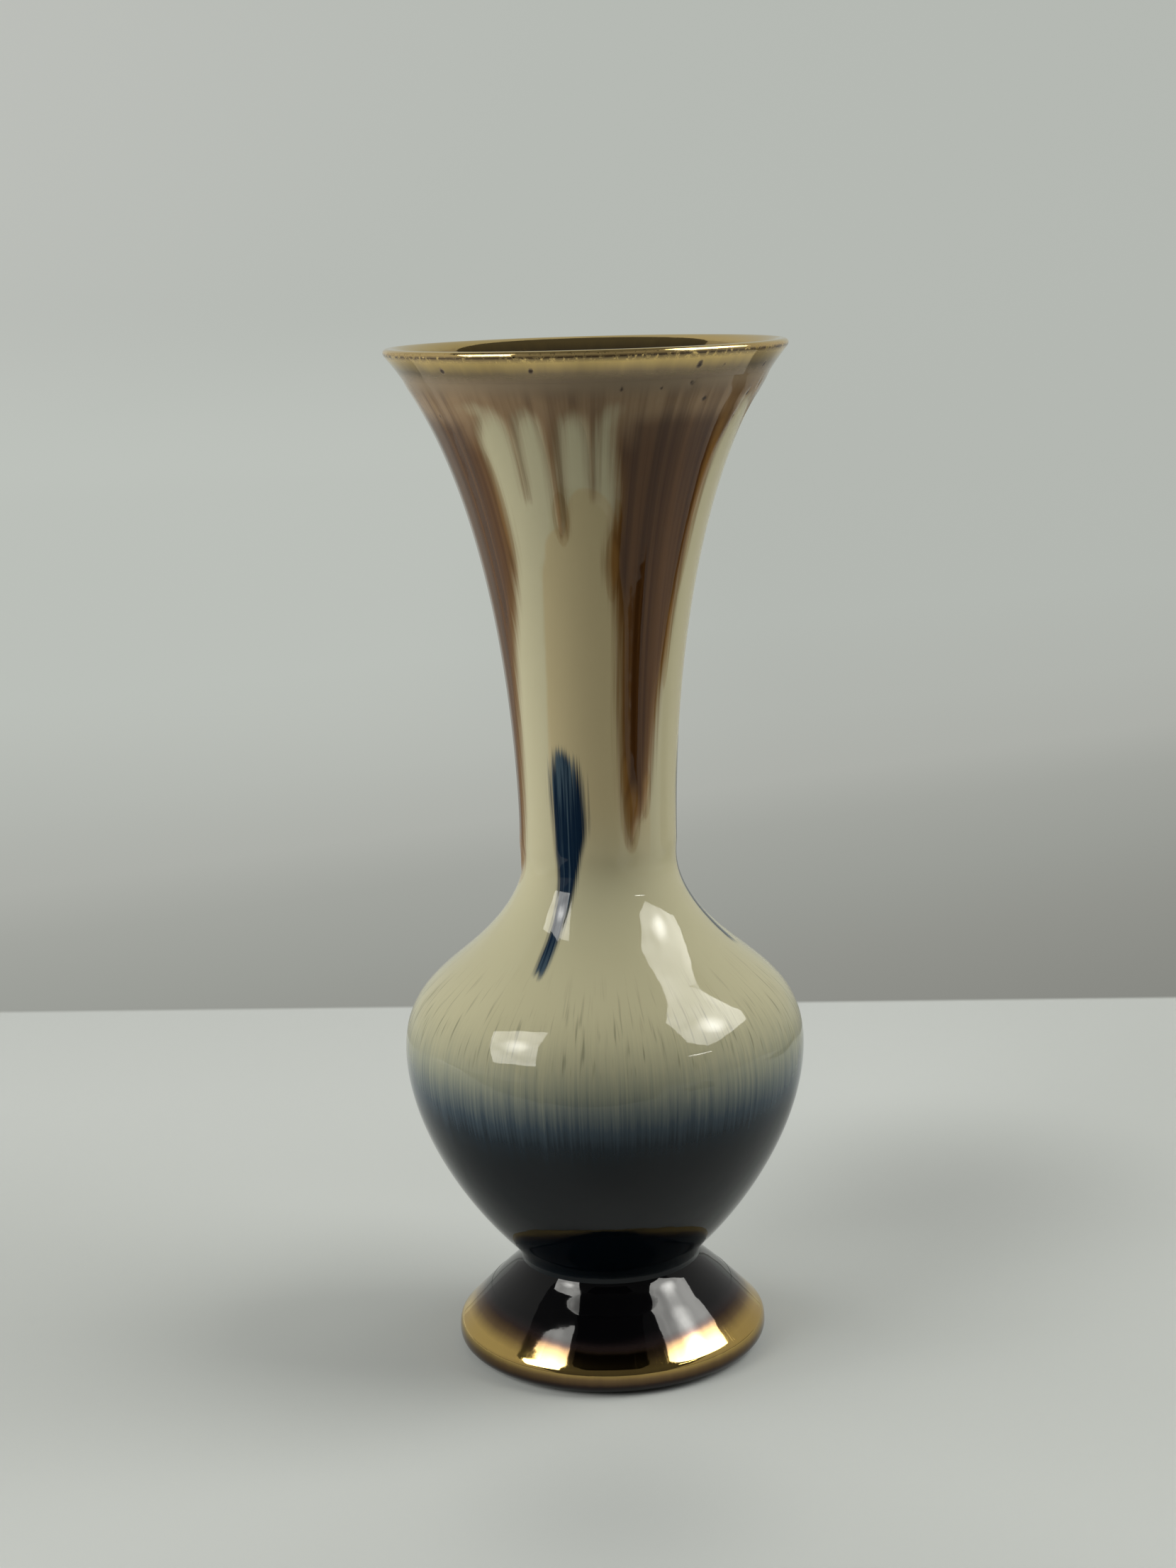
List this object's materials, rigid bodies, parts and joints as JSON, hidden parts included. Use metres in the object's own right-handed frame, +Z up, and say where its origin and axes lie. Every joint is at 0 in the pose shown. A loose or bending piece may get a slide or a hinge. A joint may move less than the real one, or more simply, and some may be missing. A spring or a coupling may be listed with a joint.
{
  "type": "bud vase",
  "caption": "Small hollow ceramic bud vase with a trumpet neck, a round bulb and a low pedestal foot; drip glaze and gilded lip and foot.",
  "frame": {"origin": "centre of the foot ring, on the surface that the vase stands on", "axes": "+Z up along the axis of revolution; the front, with the brush stroke and the pointed brown run, faces -Y"},
  "size_m": [0.0872, 0.0872, 0.2201],
  "materials": {
    "bisque": "unglazed fired body",
    "slip": "fired joining slip",
    "olive_glaze": "gloss",
    "cream_glaze": "gloss",
    "cobalt_glaze": "high gloss",
    "black_glaze": "high gloss",
    "brown_glaze": "gloss, amber at the thin edges",
    "blue_glaze": "gloss",
    "gold_lustre": "bright, softly worn at its edges"
  },
  "bodies": {
    "root": {"vessel_casting": "bisque", "foot_casting": "bisque", "luting_slip": "slip", "inner_glaze": "olive_glaze", "cream_glaze": "cream_glaze", "cobalt_glaze": "cobalt_glaze", "foot_glaze": "black_glaze", "brown_glaze": "brown_glaze", "blue_stroke_front": "blue_glaze", "blue_stroke_right": "blue_glaze", "blue_stroke_rear": "blue_glaze", "rim_gilding": "gold_lustre", "foot_gilding": "gold_lustre"}
  },
  "joints": []
}
